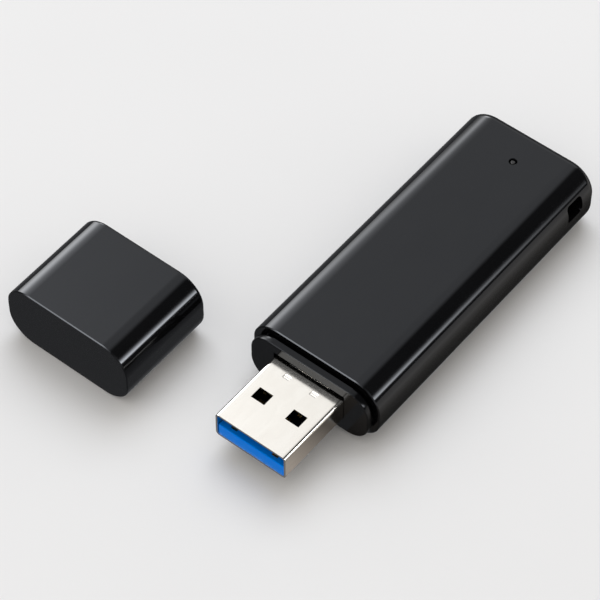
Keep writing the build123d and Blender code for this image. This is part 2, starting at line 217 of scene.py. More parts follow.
def turned(profile: list[tuple[float, float]], x: float, y: float,
           name: str = "tool") -> bpy.types.Object:
    """Builds a closed turned solid on an upright axis.

    Args:
        profile: radius and height pairs from its lower middle to its upper middle.
        x: axis place along X.
        y: axis place along Y.
        name: name of the object.

    Returns:
        The solid as an object, in millimetres.
    """
    bm = bmesh.new()
    line = [bm.verts.new((radius, 0, height)) for radius, height in profile]
    edges = [bm.edges.new(pair) for pair in zip(line, line[1:])]
    bmesh.ops.spin(bm, geom=line + edges, cent=(0, 0, 0), axis=(0, 0, 1), angle=2 * math.pi,
                   steps=TURNED_STEPS, use_merge=True)
    bmesh.ops.remove_doubles(bm, verts=bm.verts, dist=AXIS_TOLERANCE)
    bmesh.ops.translate(bm, verts=bm.verts, vec=(x, y, 0))
    return link_mesh(name, bm)


def cut_away(body: bpy.types.Object, tools: Iterable[bpy.types.Object]) -> None:
    """Cuts away the share of a body that its tools cover, and removes the tools.

    Args:
        body: the object that is changed.
        tools: closed objects, used one after the other.
    """
    for tool in tools:
        modifier = body.modifiers.new("cut", "BOOLEAN")
        modifier.solver, modifier.operation, modifier.object = "EXACT", "DIFFERENCE", tool
        evaluated = body.evaluated_get(bpy.context.evaluated_depsgraph_get())
        shaped = bpy.data.meshes.new_from_object(evaluated)
        body.modifiers.remove(modifier)
        used, body.data = body.data, shaped
        bpy.data.meshes.remove(used)
        bpy.data.objects.remove(tool)


def finish_mesh(piece: bpy.types.Object, material: bpy.types.Material, edge_break: float) -> None:
    """Scales a piece to metres, smooths its curves and breaks its edges.

    Args:
        piece: the object, at the origin.
        material: its finish.
        edge_break: width of the broken edges in millimetres, 0 for none.
    """
    mesh = piece.data
    mesh.transform(Matrix.Scale(MM, 4))
    mesh.materials.clear()
    mesh.materials.append(material)
    mesh.polygons.foreach_set("material_index", [0] * len(mesh.polygons))
    mesh.polygons.foreach_set("use_smooth", [True] * len(mesh.polygons))
    mesh.set_sharp_from_angle(angle=math.radians(SMOOTH_BELOW))
    if edge_break > 0:
        bevel = piece.modifiers.new("edge_break", "BEVEL")
        bevel.width, bevel.segments = edge_break * MM, BREAK_STEPS
        bevel.limit_method, bevel.angle_limit = "ANGLE", math.radians(SMOOTH_BELOW)
        bevel.miter_outer = "MITER_ARC"
    normals = piece.modifiers.new("flat_faces", "WEIGHTED_NORMAL")
    normals.keep_sharp, normals.weight = edge_break == 0, FACE_WEIGHT


def settle(piece: bpy.types.Object, body: Body, node: str) -> None:
    """Gives a finished piece its body and the node that it stands for."""
    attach(piece, body.value)
    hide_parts(node)
    log.info("%s stands for %s: %d faces", piece.name, node, len(piece.data.polygons))


# ------------------------------------------------------------------ shader building


def linear(colour: str) -> tuple[float, float, float, float]:
    """Returns a six-digit sRGB colour as opaque linear light."""
    parts = [int(colour[i:i + 2], 16) / 255 for i in (1, 3, 5)]
    return (*(c / 12.92 if c <= 0.04045 else ((c + 0.055) / 1.055) ** 2.4 for c in parts), 1.0)


def add(tree: bpy.types.NodeTree, kind: str, settings: dict | None = None, values: dict | None = None,
        links: dict | None = None) -> bpy.types.Node:
    """Adds a node.

    Args:
        tree: the node tree.
        kind: type of the node.
        settings: its properties.
        values: its unlinked inputs.
        links: its linked inputs, each with the output that feeds it.

    Returns:
        The new node.
    """
    node = tree.nodes.new(kind)
    for key, value in (settings or {}).items():
        setattr(node, key, value)
    for key, value in (values or {}).items():
        node.inputs[key].default_value = value
    for key, source in (links or {}).items():
        tree.links.new(source, node.inputs[key])
    return node


def arithmetic(tree: bpy.types.NodeTree, operation: str, first: bpy.types.NodeSocket,
               second: bpy.types.NodeSocket | float) -> bpy.types.NodeSocket:
    """Adds an arithmetic node and returns its value."""
    node = add(tree, "ShaderNodeMath", {"operation": operation}, None, {0: first})
    if isinstance(second, (int, float)):
        node.inputs[1].default_value = second
    else:
        tree.links.new(second, node.inputs[1])
    return node.outputs[0]


class Shader:
    """A material under construction, with patterns measured in millimetres.

    Args:
        name: the common name and the surface process.
    """

    def __init__(self, name: str) -> None:
        self.material = bpy.data.materials.new(name)
        self.material.use_nodes = True
        self.tree = self.material.node_tree
        self.tree.nodes.clear()
        self.surface = add(self.tree, "ShaderNodeBsdfPrincipled")
        add(self.tree, "ShaderNodeOutputMaterial", links={"Surface": self.surface.outputs["BSDF"]})
        self.coordinates = add(self.tree, "ShaderNodeTexCoord").outputs["Object"]

    def stretched(self, sizes: tuple[float, float, float]) -> bpy.types.NodeSocket:
        """Returns coordinates in which a pattern's unit has these sizes in millimetres."""
        factors = [1 / (size * MM) for size in sizes]
        return add(self.tree, "ShaderNodeMapping", {"vector_type": "POINT"}, {"Scale": factors},
                   {"Vector": self.coordinates}).outputs["Vector"]

    def noise(self, sizes: tuple[float, float, float] | float, detail: float = 3.0, rough: float = 0.5,
              warp: float = 0.0) -> bpy.types.NodeSocket:
        """Returns noise whose features have these sizes in millimetres."""
        sizes = (sizes,) * 3 if isinstance(sizes, (int, float)) else sizes
        return add(self.tree, "ShaderNodeTexNoise", None,
                   {"Scale": 1.0, "Detail": detail, "Roughness": rough, "Distortion": warp},
                   {"Vector": self.stretched(sizes)}).outputs["Fac"]

    def spots(self, size: float, low: float, high: float) -> bpy.types.NodeSocket:
        """Returns 1 at small scattered spots that lie about one size in millimetres apart."""
        cells = add(self.tree, "ShaderNodeTexVoronoi", None, {"Scale": 1.0},
                    {"Vector": self.stretched((size,) * 3)})
        return self.ranged(cells.outputs["Distance"], high, low, 0.0, 1.0)

    def ranged(self, source: bpy.types.NodeSocket, low: float, high: float, out_low: float,
               out_high: float) -> bpy.types.NodeSocket:
        """Maps a value from one range to another, held at both ends."""
        return add(self.tree, "ShaderNodeMapRange", {"clamp": True},
                   {"From Min": low, "From Max": high, "To Min": out_low, "To Max": out_high},
                   {"Value": source}).outputs["Result"]

    def maths(self, operation: str, first: bpy.types.NodeSocket,
              second: bpy.types.NodeSocket | float) -> bpy.types.NodeSocket:
        """Returns an arithmetic node's value."""
        return arithmetic(self.tree, operation, first, second)

    def mixed(self, share: bpy.types.NodeSocket, first: str, second: str) -> bpy.types.NodeSocket:
        """Mixes two sRGB colours by a share from 0 to 1."""
        node = add(self.tree, "ShaderNodeMix", {"data_type": "RGBA"}, None, {0: share})
        node.inputs[6].default_value, node.inputs[7].default_value = linear(first), linear(second)
        return node.outputs[2]

    def along(self, axis: int, start: float, stop: float, low: float, high: float) -> bpy.types.NodeSocket:
        """Maps the place along an axis, between two places in millimetres, to a range."""
        parts = add(self.tree, "ShaderNodeSeparateXYZ", None, None, {0: self.coordinates}).outputs
        return self.ranged(parts[axis], start * MM, stop * MM, low, high)

    def bumped(self, *layers: tuple[bpy.types.NodeSocket, float]) -> bpy.types.NodeSocket:
        """Chains bumps, each a height pattern with its height in millimetres, and returns the normal."""
        normal = None
        for height, depth in layers:
            links = {"Height": height} if normal is None else {"Height": height, "Normal": normal}
            normal = add(self.tree, "ShaderNodeBump", None, {"Strength": 1.0, "Distance": depth * MM},
                         links).outputs["Normal"]
        return normal

    def dressed(self, values: dict | None = None, links: dict | None = None) -> bpy.types.Material:
        """Sets the surface's inputs and returns the material."""
        for key, value in (values or {}).items():
            self.surface.inputs[key].default_value = value
        for key, source in (links or {}).items():
            self.tree.links.new(source, self.surface.inputs[key])
        return self.material


@dataclass(frozen=True)
class MouldedPlastic:
    """Injection-moulded plastic with mould texture, faint flow marks and handling wear.

    Args:
        name: common name and surface process.
        colour: main colour.
        worn: colour of the faint lighter flow marks.
        gloss: lowest roughness.
        dull: highest roughness.
        peel: height of the orange peel in millimetres.
        peel_size: its size in millimetres.
        grain: height of the fine grain in millimetres.
        index: index of refraction.
        sheen: tint of the reflections.
    """

    name: str
    colour: str
    worn: str
    gloss: float
    dull: float
    peel: float
    peel_size: float = 1.6
    grain: float = 0.0001
    index: float = 1.45
    sheen: str = "#ffffff"

    def material(self) -> bpy.types.Material:
        """Returns the finish as a material."""
        shader = Shader(self.name)
        flow = shader.ranged(shader.noise((7, 16, 7), 4, 0.55, 0.6), 0.35, 0.7, 0.0, 1.0)
        handled = shader.ranged(shader.noise(2.6, 6, 0.62, 0.8), 0.38, 0.72, self.gloss, self.dull)
        lint = shader.maths("MULTIPLY", shader.spots(0.9, 0.02, 0.05), 0.16)
        scratch = shader.ranged(shader.noise((0.05, 5.0, 0.6), 2, 0.4, 0.3), 0.68, 0.78, 0.0, 0.07)
        rough = shader.maths("ADD", shader.maths("ADD", handled, lint), scratch)
        normal = shader.bumped((shader.noise(self.peel_size, 2, 0.4), self.peel),
                               (shader.noise(0.12, 3, 0.6), self.grain))
        return shader.dressed({"IOR": self.index, "Specular Tint": linear(self.sheen)},
                              {"Base Color": shader.mixed(flow, self.colour, self.worn), "Roughness": rough,
                               "Normal": normal})


@dataclass(frozen=True)
class PlasticWithPaintedShade:
    """Moulding whose bright front share runs into a dark rear share, with a soft moulded texture; the dark
    rear share is painted shade for the inside of the plug's mouth, which lies in shadow.

    Args:
        name: common name and surface process.
        front: colour of the front share.
        flow: colour of its faint flow marks.
        rear: colour of the rear share, painted shade for the shadowed inside of the mouth.
        shade_span: start and end along Y of the change, in millimetres.
    """

    name: str
    front: str
    flow: str
    rear: str
    shade_span: tuple[float, float]

    def material(self) -> bpy.types.Material:
        """Returns the finish as a material."""
        shader = Shader(self.name)
        # painted shade: azure at the front, near black deeper in the mouth, where the tongue lies in shadow
        share = shader.along(1, *self.shade_span, 0.0, 1.0)
        marks = shader.ranged(shader.noise((1.2, 3.0, 1.2), 4, 0.55, 0.4), 0.35, 0.7, 0.0, 1.0)
        colour = add(shader.tree, "ShaderNodeMix", {"data_type": "RGBA"}, None,
                     {0: share, 6: shader.mixed(marks, self.front, self.flow)})
        colour.inputs[7].default_value = linear(self.rear)
        rough = shader.ranged(shader.noise(0.8, 5, 0.6), 0.35, 0.7, 0.34, 0.46)
        normal = shader.bumped((shader.noise(0.7, 2, 0.4), 0.0015), (shader.noise(0.08, 3, 0.6), 0.0006))
        return shader.dressed({"IOR": 1.3, "Specular Tint": linear(self.front)},
                              {"Base Color": colour.outputs[2], "Roughness": rough, "Normal": normal})


@dataclass(frozen=True)
class PlatedSteel:
    """Plated metal: satin, with rolling lines along the drive and faint handling marks.

    Args:
        name: common name and surface process.
        colour: plating.
        dim: the plating in its duller patches.
        gloss: lowest roughness.
        dull: highest roughness.
        line: height of the rolling lines in millimetres.
        stretch: anisotropy.
    """

    name: str
    colour: str
    dim: str
    gloss: float = 0.12
    dull: float = 0.17
    line: float = 0.00012
    stretch: float = 0.1

    def material(self) -> bpy.types.Material:
        """Returns the finish as a material."""
        shader = Shader(self.name)
        patches = shader.ranged(shader.noise((2.0, 5.0, 2.0), 5, 0.6, 0.5), 0.3, 0.75, 0.0, 1.0)
        lines = shader.noise((0.045, 3.5, 0.045), 3, 0.55)
        pits = shader.spots(0.55, 0.015, 0.05)
        rough = shader.maths("ADD", shader.ranged(patches, 0, 1, self.gloss, self.dull),
                             shader.ranged(lines, 0.35, 0.7, 0.0, 0.04))
        normal = shader.bumped((shader.noise(2.4, 2, 0.5), 0.0008), (lines, self.line), (pits, -0.0004))
        return shader.dressed({"Metallic": 1.0, "Anisotropic": self.stretch},
                              {"Base Color": shader.mixed(patches, self.colour, self.dim),
                               "Roughness": rough, "Normal": normal})


@dataclass(frozen=True)
class Laminate:
    """Fibreglass board under green solder mask: woven relief, with copper lines a shade lighter.

    Args:
        name: common name and surface process.
        mask: solder mask.
        copper: mask where copper lies under it.
    """

    name: str
    mask: str
    copper: str

    def material(self) -> bpy.types.Material:
        """Returns the finish as a material."""
        shader = Shader(self.name)
        bricks = add(shader.tree, "ShaderNodeTexBrick", {"offset": 0.5},
                     {"Scale": 1.0, "Mortar Size": 0.12, "Mortar Smooth": 0.2, "Brick Width": 2.2,
                      "Row Height": 0.7},
                     {"Vector": shader.stretched((0.9, 0.9, 0.9))}).outputs["Fac"]
        weave = add(shader.tree, "ShaderNodeTexWave",
                    {"wave_type": "BANDS", "bands_direction": "DIAGONAL"},
                    {"Scale": 1.0, "Distortion": 1.5, "Detail": 2.0},
                    {"Vector": shader.stretched((1.1, 1.1, 1.1))})
        rough = shader.ranged(shader.noise(1.5, 4, 0.6), 0.3, 0.7, 0.28, 0.42)
        normal = shader.bumped((weave.outputs["Fac"], 0.002), (bricks, 0.006))
        return shader.dressed({"IOR": 1.55}, {"Base Color": shader.mixed(bricks, self.mask, self.copper),
                                              "Roughness": rough, "Normal": normal})


@dataclass(frozen=True)
class Ceramic:
    """Sintered body of a surface-mount component, with solder along its ends.

    Args:
        name: common name and surface process.
        body: colour of the ceramic.
        speck: colour of its grains.
        rough: roughness.
    """

    name: str
    body: str
    speck: str
    rough: float = 0.55

    def material(self) -> bpy.types.Material:
        """Returns the finish as a material."""
        shader = Shader(self.name)
        grains = shader.ranged(shader.noise(0.09, 4, 0.7), 0.45, 0.65, 0.0, 1.0)
        worn = shader.ranged(shader.noise(0.6, 3, 0.5), 0.3, 0.7, self.rough - 0.08, self.rough + 0.08)
        return shader.dressed({"IOR": 1.6}, {"Base Color": shader.mixed(grains, self.body, self.speck),
                                             "Roughness": worn,
                                             "Normal": shader.bumped((grains, 0.004))})


@dataclass(frozen=True)
class PaintedReflectionCard:
    """Glowing card that only reflections show, a painted reflection of a dim, shaded floor; its brightness
    runs evenly from one side to the other.

    Args:
        name: common name and surface process.
        colour: its tint.
        radiance: brightness of its first side.
        far_radiance: brightness of its second side.
        fade: places of both sides, in millimetres.
        axis: the axis along which it fades.
    """

    name: str
    colour: str
    radiance: float
    far_radiance: float
    fade: tuple[float, float] = (0.0, 1.0)
    axis: int = 0

    def material(self) -> bpy.types.Material:
        """Returns the finish as a material."""
        shader = Shader(self.name)
        # painted reflection: the glow stands in for the floor and its shade
        glow = shader.along(self.axis, *self.fade, self.radiance, self.far_radiance)
        return shader.dressed({"Base Color": linear("#000000"), "Specular IOR Level": 0.0,
                               "Emission Color": linear(self.colour)}, {"Emission Strength": glow})


@dataclass(frozen=True)
class Paper:
    """Pale matt backdrop paper with a barely visible fibre.

    Args:
        name: common name and surface process.
        colour: main colour.
        shade: colour of its cloudier patches.
    """

    name: str
    colour: str
    shade: str

    def material(self) -> bpy.types.Material:
        """Returns the finish as a material."""
        shader = Shader(self.name)
        cloud = shader.ranged(shader.noise(60, 3, 0.5), 0.3, 0.7, 0.0, 1.0)
        return shader.dressed({"IOR": 1.3, "Specular IOR Level": 0.1, "Roughness": 0.9},
                              {"Base Color": shader.mixed(cloud, self.colour, self.shade),
                               "Normal": shader.bumped((shader.noise(0.5, 3, 0.6), 0.004))})


class Finishes:
    """Every material of the scene, made once."""

    def __init__(self) -> None:
        self.make_plastics()
        self.make_metals()
        self.make_components()
        self.make_cards()
        # floor: pale neutral, even, without a mirror image
        self.floor = Paper("backdrop paper, uncoated", "#e6e7e8", "#e4e5e6").material()

    def make_plastics(self) -> None:
        """Makes the housings' and the tongue's plastics."""
        # polished mould: deep black, sharp reflections with a slight ripple and a cool sheen
        self.case = MouldedPlastic("black ABS, polished mould", "#070708", "#0b0b0c", gloss=0.06, dull=0.11,
                                   peel=0.0008, sheen="#f1f6ff").material()
        # the same resin from a plainer mould: its reflections are softer and weaker
        self.frame = MouldedPlastic("black ABS, plain mould", "#060607", "#09090a", gloss=0.1, dull=0.16,
                                    peel=0.0008, index=1.32, sheen="#f1f6ff").material()
        # inner cover, never seen closed: fine matt grain
        self.cover = MouldedPlastic("black ABS, spark-eroded mould", "#1a1a1b", "#202021", gloss=0.42,
                                    dull=0.55, peel=0.004, peel_size=0.5, grain=0.003).material()
        # tongue: azure in the mouth, with painted shade that makes it dark behind, and a soft sheen
        self.tongue = PlasticWithPaintedShade("blue PBT, moulded", "#0084f4", "#007dec", "#070605",
                                     (PLUG_TIP + 3.0, PLUG_TIP + 4.0)).material()
        # block above the tongue: dark and matt, so that the mouth ends in shadow
        self.spacer = MouldedPlastic("black PBT, moulded", "#151516", "#1b1b1c", gloss=0.35, dull=0.5,
                                     peel=0.002, peel_size=0.7, grain=0.001, index=1.57).material()
        # the light is off: a smoked lens, a shade lighter than the gap round it
        self.pipe = MouldedPlastic("smoked polycarbonate, polished", "#161617", "#121213", gloss=0.06,
                                   dull=0.12, peel=0.0008, peel_size=0.6, grain=0.0002,
                                   index=1.58).material()

    def make_metals(self) -> None:
        """Makes the plug's, the contacts' and the crystal's metals."""
        # folded plug: satin, warm white under a broad light, with fine rolling lines
        self.shell = PlatedSteel("nickel-plated steel, satin", "#efece6", "#e6e2db").material()
        # contacts: thin bright plating over nickel
        self.gold = PlatedSteel("copper alloy, gold-plated", "#d9c089", "#c9ab6c", gloss=0.16, dull=0.26,
                                line=0.0003, stretch=0.1).material()
        # crystal's can: a duller, colder metal than the plug
        self.can = PlatedSteel("nickel can, drawn", "#cfccc4", "#c2beb5", gloss=0.22, dull=0.36,
                               line=0.0005, stretch=0.1).material()

    def make_components(self) -> None:
        """Makes the finishes of the board and of what is soldered to it."""
        # board: dark green with copper lines a shade lighter
        self.board = Laminate("fibreglass laminate, solder mask", "#0c3b1f", "#155a2f").material()
        # chips: charcoal with a fine matt grain
        self.resin = MouldedPlastic("black epoxy, transfer-moulded", "#1c1c1e", "#262628", gloss=0.45,
                                    dull=0.6, peel=0.003, peel_size=0.3, grain=0.003,
                                    index=1.5).material()
        # light: pale and glassy
        self.led = MouldedPlastic("clear epoxy, cast", "#c9c6ae", "#bdb99f", gloss=0.12, dull=0.2,
                                  peel=0.001, peel_size=0.4, grain=0.0004, index=1.5).material()
        # capacitors: matt brown with darker grains
        self.capacitor = Ceramic("barium titanate ceramic, fired", "#8a6f4f", "#76603f").material()
        # resistors: nearly black, with a slight glaze
        self.resistor = Ceramic("glazed resistor film, fired", "#17181b", "#26272b", 0.4).material()

    def make_cards(self) -> None:
        """Makes the cards that the lower sides reflect in place of the floor, painted reflections that are
        dark so that black plastic stays black.
        """
        side = CASE_WIDTH / 2
        # on the left and in front: evenly dark, a painted reflection of a dim floor
        self.card_dark = PaintedReflectionCard("gray card, dark", "#f8faff", 0.17, 0.17).material()
        # on the right: painted shadow of the floor beside the case, nearly black at the case, pale further
        # off
        self.card_faded = PaintedReflectionCard("gray card, faded", "#fffaf4", 0.05, 0.8,
                                   (side + 1.5, side + 15)).material()
        # beside the plug: painted shade, its side's reflection darkens from the mouth to the collar
        self.card_warm = PaintedReflectionCard("gray card, warm", "#fff4ea", 0.36, 0.09,
                                  (PLUG_TIP + 3.5, COLLAR_FACE - 0.5), 1).material()


# ------------------------------------------------------------------ sub-assemblies


@dataclass(frozen=True)
class Case:
    """Outer case with its hollow, hook pockets, strap slot and the gap round the light.

    Args:
        wall: thickness of the sides, the top and the bottom.
        rear_wall: thickness of the rear end.
        rear_round: round of the rear end's edge.
        mouth_break: chamfer of the front edge.
        slot_setback: from the rear face to the strap slot.
        slot_length: the slot along Y.
        slot_height: the slot along Z.
        slot_mid_z: the slot's middle.
        slot_round: its corners.
        slot_inner_x: how near it comes to the middle of the drive.
        exit_width: the slot's way out through the rear face, along X.
        exit_inset: how much smaller the way out is on each side.
        slot_wall: plastic left standing round the slot.
        light: place of the light's middle.
        light_radius: radius at the foot of the gap round the light.
        light_sink: radius at its top.
        light_sink_depth: depth of its foot.
        light_reach: depth of the whole hole.
        hook_half: half of a hook pocket's height.
        hook_span: start and end of the pockets along Y.
        hook_depth: their depth in the wall.
        edge_break: width of the broken edges.
        round_steps: segments of the rear end's round.
    """

    wall: float = 1.1
    rear_wall: float = 1.6
    rear_round: float = 1.5
    mouth_break: float = 0.14
    slot_setback: float = 3.4
    slot_length: float = 3.4
    slot_height: float = 3.0
    slot_mid_z: float = 6.9
    slot_round: float = 0.6
    slot_inner_x: float = 6.25
    exit_width: float = 2.5
    exit_inset: float = 0.2
    slot_wall: float = 1.2
    light: tuple[float, float] = (0.3, REAR - 6.0)
    light_radius: float = 0.42
    light_sink: float = 0.63
    light_sink_depth: float = 1.0
    light_reach: float = 2.0
    hook_half: float = 1.0
    hook_span: tuple[float, float] = (FRONT + 1.9, FRONT + 3.7)
    hook_depth: float = 0.3
    edge_break: float = 0.03
    round_steps: int = 10

    def build(self, finishes: Finishes) -> None:
        """Builds the case."""
        outer = Section(CASE_WIDTH, CASE_HEIGHT, CASE_CORNER)
        case = prism(outer, FRONT, REAR, CORNER_STEPS, self.mouth_break, self.rear_round,
                     self.round_steps, "case")
        cut_away(case, [self.hollow(outer), self.pockets(), *self.slot(), self.light_gap()])
        finish_mesh(case, finishes.case, self.edge_break)
        settle(case, Body.DRIVE, "outer_case")

    def hollow(self, outer: Section) -> bpy.types.Object:
        """Returns the hollow, which leaves a solid corner round the strap slot."""
        hollow = prism(outer.inset(self.wall), FRONT - OVERRUN, REAR - self.rear_wall)
        corner_x = self.slot_inner_x - self.slot_wall
        corner_y = REAR - self.slot_setback - self.slot_length - self.slot_wall
        cut_away(hollow, [block((corner_x, CASE_WIDTH), (corner_y, REAR + OVERRUN),
                                (-OVERRUN, CASE_HEIGHT + OVERRUN))])
        return hollow

    def pockets(self) -> bpy.types.Object:
        """Returns the two pockets that the frame's hooks snap into, as one block across the hollow."""
        reach = CASE_WIDTH / 2 - self.wall + self.hook_depth
        return block((-reach, reach), self.hook_span, (MID_Z - self.hook_half, MID_Z + self.hook_half))

    def slot(self) -> list[bpy.types.Object]:
        """Returns the strap slot in the side and its way out through the rear face."""
        back = REAR - self.slot_setback
        front = back - self.slot_length
        half_z = self.slot_height / 2
        side = block((self.slot_inner_x, CASE_WIDTH), (front, back),
                     (self.slot_mid_z - half_z, self.slot_mid_z + half_z), self.slot_round, 0)
        exit_x = self.slot_inner_x + self.exit_inset
        half_z -= self.exit_inset
        way_out = block((exit_x, exit_x + self.exit_width), (front + self.exit_inset, REAR + OVERRUN),
                        (self.slot_mid_z - half_z, self.slot_mid_z + half_z), self.slot_round, 1)
        return [side, way_out]

    def light_gap(self) -> bpy.types.Object:
        """Returns the light's hole, whose cone leaves a dark ring round the lens."""
        top_z = CASE_HEIGHT + OVERRUN
        foot_z, end_z = CASE_HEIGHT - self.light_sink_depth, CASE_HEIGHT - self.light_reach
        profile = [(0, end_z), (self.light_radius, end_z), (self.light_radius, foot_z),
                   (self.light_sink, CASE_HEIGHT), (self.light_sink, top_z), (0, top_z)]
        return turned(profile, *self.light)


@dataclass(frozen=True)
class Cap:
    """Cap with a wide mouth that slips over the collar and ribs that grip the plug.

    Args:
        length: whole length.
        wall: thickness of the sides.
        rim_wall: thickness at the mouth.
        end_wall: thickness of the closed end.
        mouth_round: round of the mouth's outer edge.
        end_break: chamfer of the closed end's edge.
        clearance: gap between the ribs and the plug.
        rim_depth: depth of the wide mouth.
        rib_width: width of the ribs above and below.
        rib_spread: from middle to middle of those ribs.
        side_rib_width: width of the side ribs.
        plug: width and height of the plug that the ribs grip.
        edge_break: width of the broken edges.
        round_steps: segments of the mouth's round.
    """

    length: float = 16.5
    wall: float = 1.2
    rim_wall: float = 0.75
    end_wall: float = 1.5
    mouth_round: float = 0.6
    end_break: float = 0.14
    clearance: float = 0.05
    rim_depth: float = 1.6
    rib_width: float = 1.0
    rib_spread: float = 7.0
    side_rib_width: float = 0.9
    plug: tuple[float, float] = (12.0, 4.5)
    edge_break: float = 0.03
    round_steps: int = 6

    def build(self, finishes: Finishes) -> None:
        """Builds the cap."""
        outer = Section(CASE_WIDTH, CASE_HEIGHT, CASE_CORNER, CAP_X)
        end = FRONT - self.length
        cap = prism(outer, end, FRONT, CORNER_STEPS, self.end_break, self.mouth_round,
                    self.round_steps, "cap_shell")
        hollow = prism(outer.inset(self.wall), end + self.end_wall, FRONT + OVERRUN)
        cut_away(hollow, self.ribs())
        mouth = prism(outer.inset(self.rim_wall), FRONT - self.rim_depth, FRONT + OVERRUN)
        cut_away(cap, [hollow, mouth])
        finish_mesh(cap, finishes.case, self.edge_break)
        settle(cap, Body.CAP, "cap")

    def ribs(self) -> list[bpy.types.Object]:
        """Returns the ribs as blocks that reach out past the hollow."""
        span = (FRONT - self.length + self.end_wall - OVERRUN, FRONT - self.rim_depth)
        grip_x, grip_z = self.plug[0] / 2 + self.clearance, self.plug[1] / 2 + self.clearance
        half_z = self.side_rib_width / 2
        ribs = []
        for side in (-1, 1):
            far_x = sorted((CAP_X + side * grip_x, CAP_X + side * CASE_WIDTH / 2))
            ribs.append(block(tuple(far_x), span, (MID_Z - half_z, MID_Z + half_z)))
            far_z = sorted((MID_Z + side * grip_z, MID_Z + side * MID_Z))
            for place in (-self.rib_spread / 2, self.rib_spread / 2):
                x = CAP_X + place
                ribs.append(block((x - self.rib_width / 2, x + self.rib_width / 2), span, tuple(far_z)))
        return ribs


@dataclass(frozen=True)
class CadCopy:
    """A CAD piece's mesh with smooth curves and, where wanted, broken edges.

    Args:
        node: the CAD node.
        name: the piece's name.
        slot: its material slot; not used.
        edge_break: width of the broken edges in millimetres, 0 for none.
    """

    node: str
    name: str
    slot: str
    edge_break: float

    def build(self, nodes: dict[str, bpy.types.Object], material: bpy.types.Material) -> None:
        """Builds the piece from the node's mesh."""
        bm = bmesh.new()
        bm.from_mesh(nodes[self.node].data)
        bmesh.ops.remove_doubles(bm, verts=bm.verts, dist=CAD_TOLERANCE)
        bmesh.ops.scale(bm, vec=(1 / MM,) * 3, verts=bm.verts)
        bmesh.ops.dissolve_limit(bm, angle_limit=math.radians(FLAT_ANGLE), verts=bm.verts, edges=bm.edges)
        piece = link_mesh(self.name, bm)
        finish_mesh(piece, material, self.edge_break)
        settle(piece, Body.DRIVE, self.node)


# ------------------------------------------------------------------ studio

# elevations in degrees between which the canopy fades in, and the least height of a direction
CANOPY_FOOT = (3.0, 26.0)
LOWEST_UP = 0.001


@dataclass(frozen=True)
class Softbox:
    """Rectangular studio light for matt surfaces; shiny ones don't show it.

    Args:
        name: its name.
        place: its middle, in metres.
        size: width and height, in metres.
        radiance: brightness of its face; 1 lights a white sheet that it surrounds to white.
        colour: sRGB colour.
        aim: the point that it faces, in metres.
    """

    name: str
    place: tuple[float, float, float]
    size: tuple[float, float]
    radiance: float
    colour: str
    aim: tuple[float, float, float] = (0.0, 0.0, 0.0)

    def build(self) -> None:
        """Adds the light to the scene."""
        data = bpy.data.lights.new(self.name, "AREA")
        data.shape, data.size, data.size_y = "RECTANGLE", *self.size
        data.energy = math.pi * self.size[0] * self.size[1] * self.radiance
        data.color = linear(self.colour)[:3]
        lamp = bpy.data.objects.new(self.name, data)
        lamp.location = self.place
        lamp.rotation_euler = (Vector(self.aim) - Vector(self.place)).to_track_quat("-Z", "Y").to_euler()
        lamp.visible_camera, lamp.visible_glossy = False, False
        bpy.context.scene.collection.objects.link(lamp)
        log.info("light %s", self.name)


@dataclass(frozen=True)
class Glow:
    """Soft patch of light on the walls of the studio, seen by its direction from the object.

    Args:
        azimuth: degrees from +Y towards +X of its middle.
        elevation: degrees above the floor of its middle.
        width: spread to each side, in degrees.
        above: spread upwards, in degrees.
        below: spread downwards, in degrees.
        radiance: brightness of its middle.
        tilt: degrees that it rises for each degree of azimuth.
    """

    azimuth: float
    elevation: float
    width: float
    above: float
    below: float
    radiance: float
    tilt: float = 0.0

    def build(self, room: "Room") -> bpy.types.NodeSocket:
        """Adds the glow to the room and returns its brightness."""
        aside = room.maths("SUBTRACT", room.azimuth, self.azimuth)
        rise = room.maths("SUBTRACT", room.maths("SUBTRACT", room.elevation, self.elevation),
                          room.maths("MULTIPLY", aside, self.tilt))
        across = room.maths("DIVIDE", aside, self.width)
        along = room.maths("MAXIMUM", room.maths("DIVIDE", rise, self.above),
                           room.maths("DIVIDE", rise, -self.below))
        spread = room.maths("ADD", room.maths("MULTIPLY", across, across),
                            room.maths("MULTIPLY", along, along))
        fall = room.maths("EXPONENT", room.maths("MULTIPLY", spread, -0.5), 0.0)
        return room.maths("MULTIPLY", fall, self.radiance)


